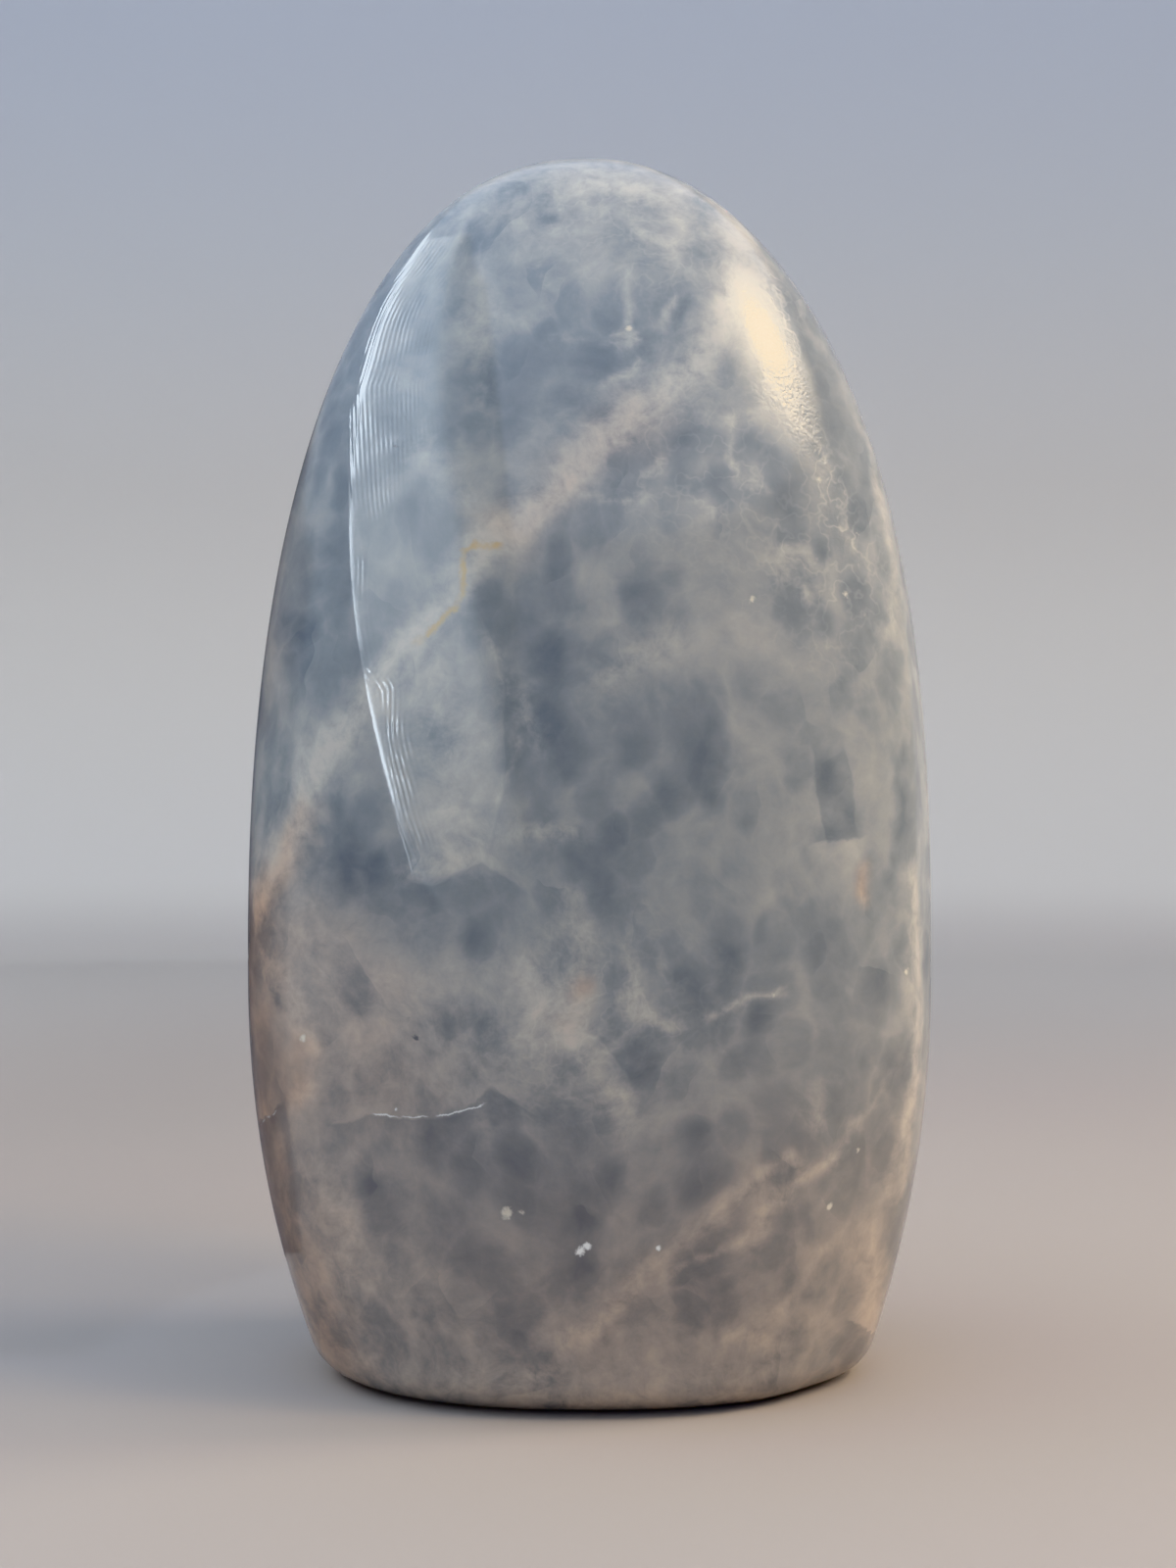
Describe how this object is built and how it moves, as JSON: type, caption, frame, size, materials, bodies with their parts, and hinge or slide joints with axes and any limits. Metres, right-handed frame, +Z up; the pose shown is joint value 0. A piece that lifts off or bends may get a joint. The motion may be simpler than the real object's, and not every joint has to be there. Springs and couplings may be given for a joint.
{
  "type": "blue calcite freeform",
  "caption": "Polished blue-grey calcite freeform: a tall, flattened, rounded stone that stands on a flat cut foot.",
  "frame": {"origin": "centre of the overall footprint, on the plane of the flat cut foot", "axes": "+Z up along the stone's height; +X to the viewer's right across its width; -Y towards the viewer, through its thickness"},
  "size_m": [0.0596, 0.037, 0.1055],
  "materials": {
    "blue_calcite": "polished"
  },
  "bodies": {
    "root": {"stone": "blue_calcite"}
  },
  "joints": []
}
